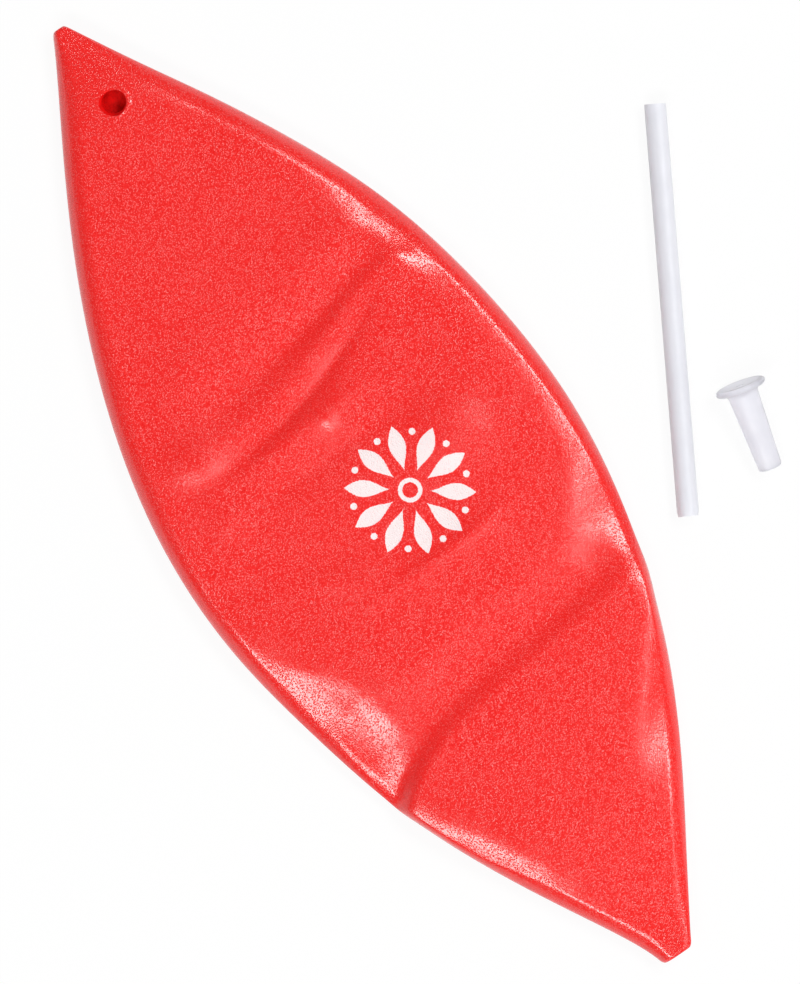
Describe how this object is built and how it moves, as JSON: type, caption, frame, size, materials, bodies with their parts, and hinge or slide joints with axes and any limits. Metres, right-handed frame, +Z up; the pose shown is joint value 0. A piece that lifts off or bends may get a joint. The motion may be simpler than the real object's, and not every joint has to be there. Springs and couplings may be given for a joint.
{
  "type": "pilates ball",
  "caption": "Small soft exercise ball, let down and folded flat into a leaf, with a loose straw for blowing it up and a tapered plug that closes its valve hole.",
  "frame": {"origin": "middle of the folded ball's flat underside, on the surface that the set lies on", "axes": "+Z up out of the surface, +Y along the ball's long axis to the tip with the valve hole, +X to the side where the straw and the plug lie"},
  "size_m": [0.1672, 0.2778, 0.0127],
  "materials": {
    "soft_pvc": "soft red PVC with a fine pebbled grain and a satin sheen",
    "straw_plastic": "thin translucent white polypropylene, smooth",
    "plug_plastic": "frosted translucent white polyethylene"
  },
  "bodies": {
    "ball": {"ball_skin": "soft_pvc"},
    "straw": {"inflation_straw": "straw_plastic"},
    "plug": {"stopper_plug": "plug_plastic"}
  },
  "joints": [
    {"name": "straw_lift", "type": "slide", "parent": "ball", "child": "straw", "axis": [0, 0, 1], "range_m": [0, 0.05]},
    {"name": "plug_lift", "type": "slide", "parent": "ball", "child": "plug", "axis": [0, 0, 1], "range_m": [0, 0.05]}
  ]
}
